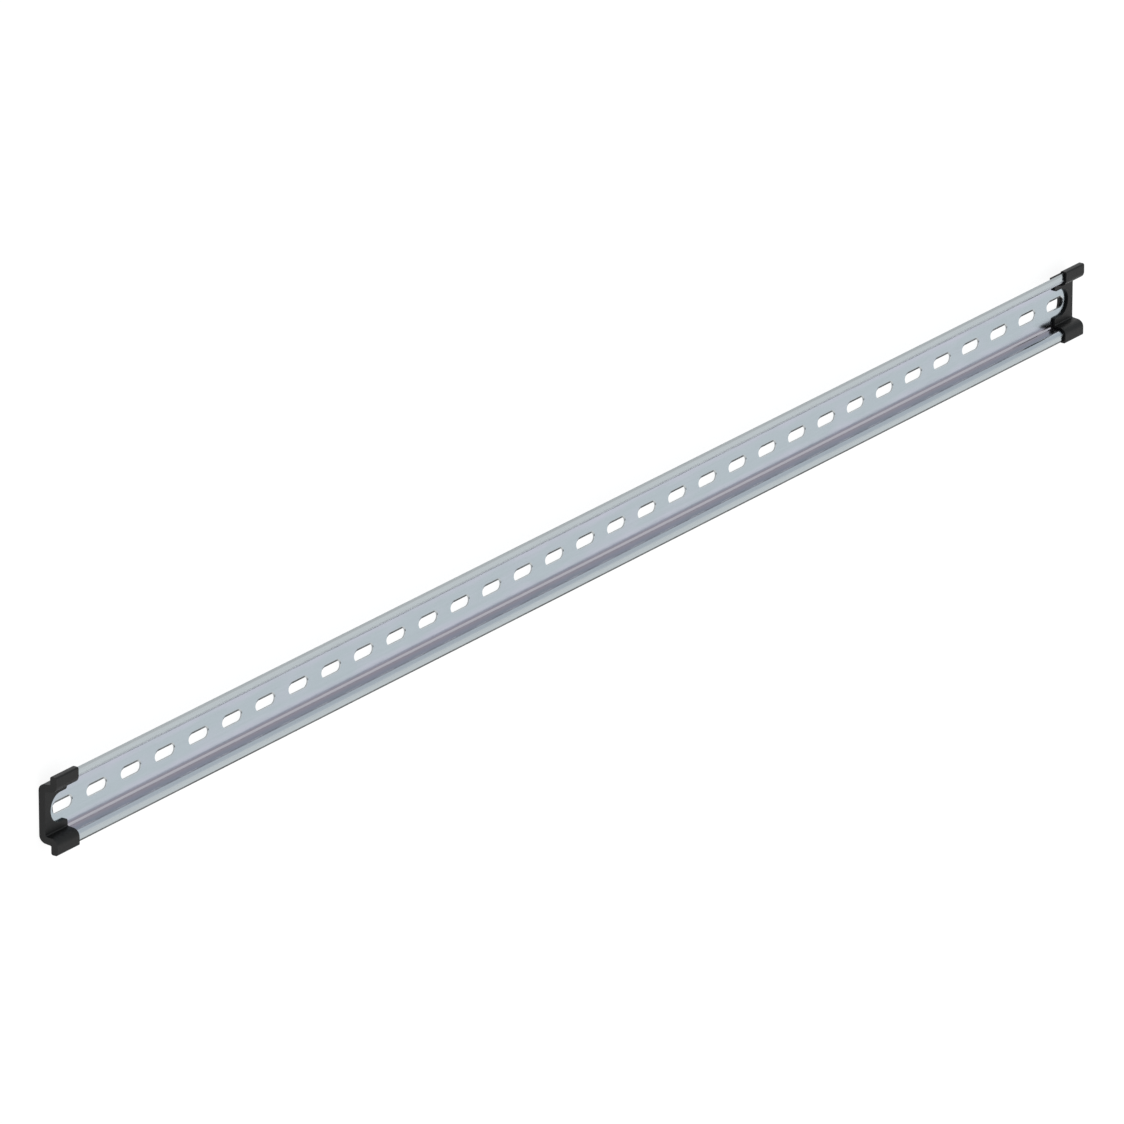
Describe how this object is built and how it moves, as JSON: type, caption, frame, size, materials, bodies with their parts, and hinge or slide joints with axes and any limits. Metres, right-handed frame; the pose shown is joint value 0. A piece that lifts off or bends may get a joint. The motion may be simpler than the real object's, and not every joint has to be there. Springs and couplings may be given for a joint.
{
  "type": "din rail",
  "caption": "Slotted top-hat mounting rail of bent sheet steel for clip-on electrical devices, with a slip-on plastic end cap at each end.",
  "frame": {"origin": "on the floor under the middle of the rail, on the plane that the caps' backs rest on", "axes": "+X along the rail, +Y across its width, +Z out of the channel's mouth"},
  "size_m": [0.828, 0.037, 0.01],
  "materials": {
    "zinc_plated_steel": "blue-passivated zinc plate, semi-gloss",
    "black_plastic": "matte moulded"
  },
  "bodies": {
    "root": {"rail": "zinc_plated_steel", "end_cap_left": "black_plastic", "end_cap_right": "black_plastic"}
  },
  "joints": []
}
